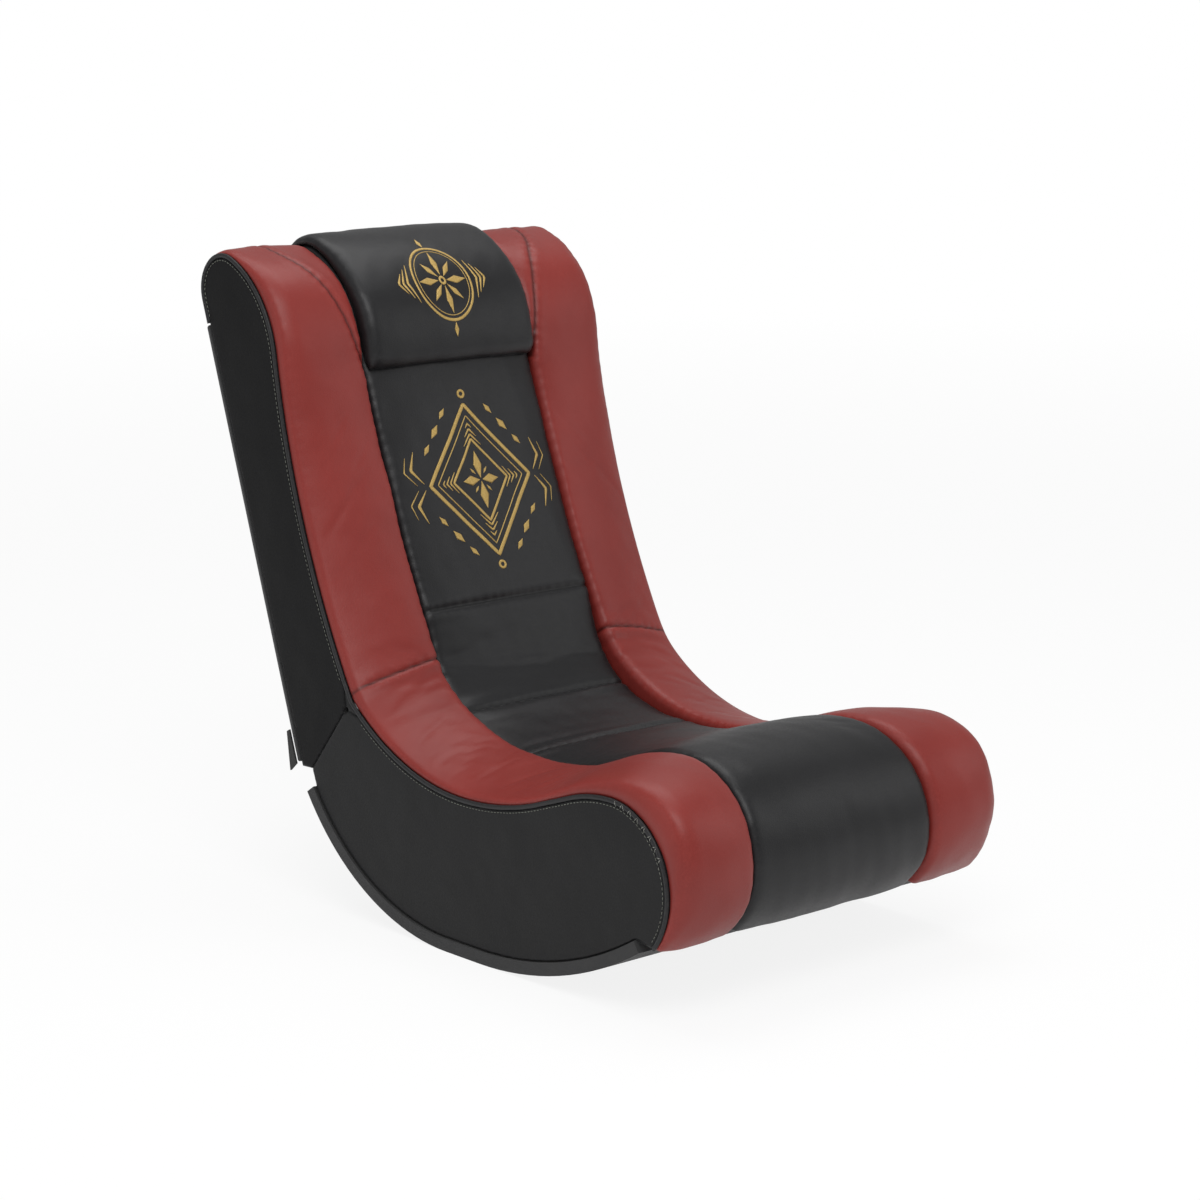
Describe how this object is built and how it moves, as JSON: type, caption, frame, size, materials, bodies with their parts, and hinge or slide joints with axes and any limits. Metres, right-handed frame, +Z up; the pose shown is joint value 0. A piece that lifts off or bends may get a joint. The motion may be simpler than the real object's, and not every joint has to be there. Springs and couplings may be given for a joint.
{
  "type": "folding gaming rocker chair",
  "caption": "Legless floor chair that rocks on a curved sole, with a padded seat, side bolsters and a high back with a headrest that folds forward onto the seat.",
  "frame": {"origin": "on the floor, in the middle of the length and width of the unfolded chair", "axes": "+X to the sitter's left, +Y from the nose of the seat to the rear of the back, +Z up; the sitter faces -Y"},
  "size_m": [0.485, 0.8322, 0.7589],
  "materials": {
    "red_leatherette": "smooth polyurethane-coated cloth, faint leather grain, satin sheen",
    "black_leatherette": "smooth polyurethane-coated cloth, faint leather grain, satin sheen",
    "black_piping": "folded black binding with a thin light topstitch",
    "black_sole_cloth": "tough black coated cloth, matt",
    "black_rear_cloth": "black coated cloth, matt",
    "black_webbing": "plain woven black webbing",
    "elastic_webbing": "grey elastic webbing",
    "foam": "open-cell foam, pale yellow",
    "plywood": "raw plywood",
    "zinc_steel": "zinc-plated steel",
    "pin_steel": "zinc-plated steel"
  },
  "bodies": {
    "seat": {"fold_bolster_left": "red_leatherette", "fold_bolster_right": "red_leatherette", "fold_centre_pad": "black_leatherette", "fold_gusset_left": "black_leatherette", "fold_gusset_right": "black_leatherette", "hinge_pin_left": "pin_steel", "hinge_pin_right": "pin_steel", "nose_foam": "foam", "rocker_sole_board": "plywood", "seat_bolster_left": "red_leatherette", "seat_bolster_right": "red_leatherette", "seat_centre_pad": "black_leatherette", "seat_foam_block": "foam", "seat_front_rail": "plywood", "seat_hinge_plate_left": "zinc_steel", "seat_hinge_plate_right": "zinc_steel", "seat_piping_left": "black_piping", "seat_piping_right": "black_piping", "seat_rear_rail": "plywood", "seat_side_board_left": "plywood", "seat_side_board_right": "plywood", "seat_side_panel_left": "black_leatherette", "seat_side_panel_right": "black_leatherette", "sole_cover": "black_sole_cloth"},
    "backrest": {"back_bolster_left": "red_leatherette", "back_bolster_right": "red_leatherette", "back_bottom_rail": "plywood", "back_centre_pad": "black_leatherette", "back_hinge_plate_left": "zinc_steel", "back_hinge_plate_right": "zinc_steel", "back_middle_rail": "plywood", "back_piping_left": "black_piping", "back_piping_right": "black_piping", "back_rear_cover": "black_rear_cloth", "back_rear_panel": "foam", "back_side_board_left": "plywood", "back_side_board_right": "plywood", "back_side_panel_left": "black_leatherette", "back_side_panel_right": "black_leatherette", "back_top_rail": "plywood", "back_webbing_straps": "elastic_webbing", "headrest_pad": "black_leatherette", "pull_tab": "black_webbing"}
  },
  "joints": [
    {"name": "back_fold", "type": "hinge", "parent": "seat", "child": "backrest", "pos_m": [0, 0.14627, 0.24104], "axis": [1, 0, 0], "range_deg": [0, 95], "deforming": ["fold_bolster_left", "fold_bolster_right", "fold_centre_pad", "fold_gusset_left", "fold_gusset_right"]}
  ]
}
